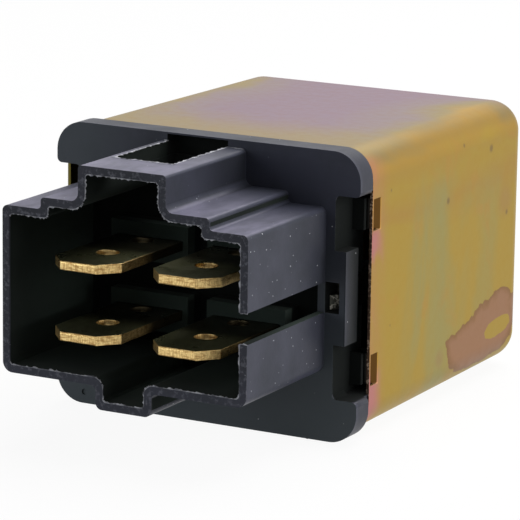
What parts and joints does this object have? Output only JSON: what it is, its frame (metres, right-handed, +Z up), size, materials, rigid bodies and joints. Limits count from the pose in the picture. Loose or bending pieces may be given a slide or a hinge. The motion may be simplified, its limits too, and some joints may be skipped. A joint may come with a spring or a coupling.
{
  "type": "automotive relay",
  "caption": "Plug-in automotive relay: plated steel can, moulded header with a keyed blade connector, coil, hinged armature and contacts inside.",
  "frame": {"origin": "middle of the bottom of the whole relay as it lies on its side", "axes": "+Y from the connector mouth to the closed end of the can, +Z up as the relay lies with its keyed tower on top, +X to the right seen from the connector mouth"},
  "size_m": [0.0288, 0.0466, 0.0246],
  "materials": {
    "header_plastic": "moulded glass-filled polyamide, dark slate blue-grey, satin",
    "can_plating": "drawn steel, yellow chromate over zinc, iridescent gold and mauve",
    "blade_brass": "stamped brass, bright sheared edges, dull flat faces",
    "yoke_steel": "zinc-plated soft iron",
    "core_steel": "turned soft iron, nickel flash",
    "bobbin_plastic": "moulded natural brown-grey polyamide",
    "coil_copper": "enamelled copper wire",
    "resistor_coat": "lacquered resistor body with tinned ends",
    "armature_steel": "zinc-plated soft iron plate",
    "spring_bronze": "rolled copper-beryllium strip",
    "rivet_steel": "plated steel rivet",
    "contact_silver": "silver alloy contact",
    "spring_wire": "drawn spring steel wire",
    "braid_copper": "plain copper braid"
  },
  "bodies": {
    "base": {"base_header": "header_plastic", "can": "can_plating", "terminal_load": "blade_brass", "terminal_common": "blade_brass", "terminal_coil_left": "blade_brass", "terminal_coil_right": "blade_brass", "yoke": "yoke_steel", "core": "core_steel", "bobbin": "bobbin_plastic", "coil_winding": "coil_copper", "coil_lead_left": "coil_copper", "coil_lead_right": "coil_copper", "suppression_resistor": "resistor_coat", "fixed_contact": "contact_silver", "return_spring": "spring_wire", "armature_stop": "yoke_steel", "braid_lead": "braid_copper"},
    "armature": {"armature": "armature_steel", "contact_spring": "spring_bronze", "armature_rivets": "rivet_steel", "moving_contact": "contact_silver"}
  },
  "joints": [
    {"name": "armature_hinge", "type": "hinge", "parent": "base", "child": "armature", "pos_m": [0, 0.01777, 0.00397], "axis": [1, 0, 0], "range_deg": [0, 3.2], "stiffness_Nm_per_rad": 0.02, "deforming": ["return_spring", "braid_lead"]}
  ]
}
